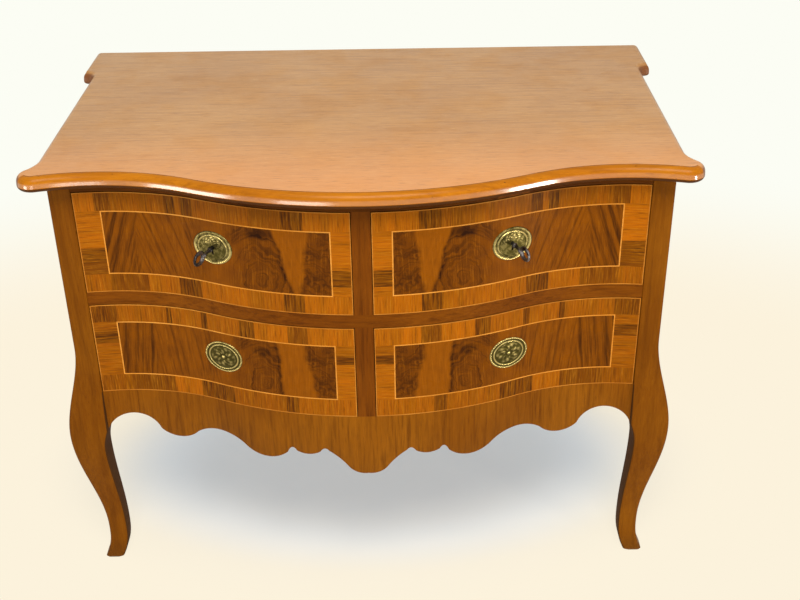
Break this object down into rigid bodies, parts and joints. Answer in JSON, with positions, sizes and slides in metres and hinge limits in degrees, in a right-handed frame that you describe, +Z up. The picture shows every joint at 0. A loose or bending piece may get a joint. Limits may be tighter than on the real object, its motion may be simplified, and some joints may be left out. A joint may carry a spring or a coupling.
{
  "type": "chest of drawers",
  "caption": "Serpentine-front walnut chest on cabriole legs, with sliding drawers, turning keys, a scalloped apron and a moulded top.",
  "frame": {"origin": "on the floor, under the middle of the bounding box", "axes": "+Z up, the front faces -Y, +X along the width"},
  "size_m": [1.072, 0.686, 0.815],
  "materials": {
    "top_walnut": "satin polish",
    "edge_walnut": "glossy polish",
    "frame_walnut": "satin polish",
    "figured_walnut": "veneer, glossy polish",
    "drawer_pine": "bare, aged",
    "carcase_pine": "bare, aged",
    "antique_brass": "aged, stamped",
    "lock_iron": "dark, worn"
  },
  "bodies": {
    "carcase": {"apron": "frame_walnut", "back_boards": "carcase_pine", "bottom_board": "carcase_pine", "centre_stile_lower": "frame_walnut", "centre_stile_upper": "frame_walnut", "drawer_guides": "carcase_pine", "drawer_kickers": "carcase_pine", "drawer_stops": "carcase_pine", "dust_board": "carcase_pine", "front_leg_left": "frame_walnut", "front_leg_right": "frame_walnut", "glue_blocks": "carcase_pine", "middle_front_rail": "frame_walnut", "partition_lower": "carcase_pine", "partition_upper": "carcase_pine", "rear_bottom_rail": "carcase_pine", "rear_leg_left": "frame_walnut", "rear_leg_right": "frame_walnut", "rear_top_rail": "carcase_pine", "side_panel_left": "frame_walnut", "side_panel_right": "frame_walnut", "strike_block_left": "frame_walnut", "strike_block_right": "frame_walnut", "top_board": "top_walnut", "top_edge_front": "edge_walnut", "top_edge_left": "edge_walnut", "top_edge_right": "edge_walnut", "top_front_rail": "frame_walnut"},
    "drawer_upper_left": {"drawer_upper_left_back": "drawer_pine", "drawer_upper_left_bottom": "drawer_pine", "drawer_upper_left_front": "figured_walnut", "drawer_upper_left_inner_side": "drawer_pine", "drawer_upper_left_outer_side": "drawer_pine", "drawer_upper_left_plate": "antique_brass", "lock_case_left": "lock_iron"},
    "drawer_lower_left": {"drawer_lower_left_back": "drawer_pine", "drawer_lower_left_bottom": "drawer_pine", "drawer_lower_left_front": "figured_walnut", "drawer_lower_left_inner_side": "drawer_pine", "drawer_lower_left_outer_side": "drawer_pine", "drawer_lower_left_plate": "antique_brass"},
    "key_body_left": {"key_left": "lock_iron"},
    "bolt_body_left": {"lock_bolt_left": "lock_iron"},
    "drawer_upper_right": {"drawer_upper_right_back": "drawer_pine", "drawer_upper_right_bottom": "drawer_pine", "drawer_upper_right_front": "figured_walnut", "drawer_upper_right_inner_side": "drawer_pine", "drawer_upper_right_outer_side": "drawer_pine", "drawer_upper_right_plate": "antique_brass", "lock_case_right": "lock_iron"},
    "drawer_lower_right": {"drawer_lower_right_back": "drawer_pine", "drawer_lower_right_bottom": "drawer_pine", "drawer_lower_right_front": "figured_walnut", "drawer_lower_right_inner_side": "drawer_pine", "drawer_lower_right_outer_side": "drawer_pine", "drawer_lower_right_plate": "antique_brass"},
    "key_body_right": {"key_right": "lock_iron"},
    "bolt_body_right": {"lock_bolt_right": "lock_iron"}
  },
  "joints": [
    {"name": "drawer_upper_left_slide", "type": "slide", "parent": "carcase", "child": "drawer_upper_left", "axis": [0, -1, 0], "range_m": [0, 0.3]},
    {"name": "drawer_lower_left_slide", "type": "slide", "parent": "carcase", "child": "drawer_lower_left", "axis": [0, -1, 0], "range_m": [0, 0.3]},
    {"name": "key_turn_left", "type": "hinge", "parent": "drawer_upper_left", "child": "key_body_left", "pos_m": [-0.2385, -0.25756, 0.6885], "axis": [-0.3975, -0.9176, 0], "range_deg": [0, 180]},
    {"name": "bolt_slide_left", "type": "slide", "parent": "drawer_upper_left", "child": "bolt_body_left", "axis": [0, 0, 1], "range_m": [0, 0.00901]},
    {"name": "drawer_upper_right_slide", "type": "slide", "parent": "carcase", "child": "drawer_upper_right", "axis": [0, -1, 0], "range_m": [0, 0.3]},
    {"name": "drawer_lower_right_slide", "type": "slide", "parent": "carcase", "child": "drawer_lower_right", "axis": [0, -1, 0], "range_m": [0, 0.3]},
    {"name": "key_turn_right", "type": "hinge", "parent": "drawer_upper_right", "child": "key_body_right", "pos_m": [0.2385, -0.25756, 0.6885], "axis": [0.3975, -0.9176, 0], "range_deg": [0, 180]},
    {"name": "bolt_slide_right", "type": "slide", "parent": "drawer_upper_right", "child": "bolt_body_right", "axis": [0, 0, 1], "range_m": [0, 0.00901]}
  ],
  "couplings": [
    {"joint": "bolt_slide_left", "follows": "key_turn_left", "m_per_rad": 0.0028648},
    {"joint": "bolt_slide_right", "follows": "key_turn_right", "m_per_rad": 0.0028648}
  ]
}
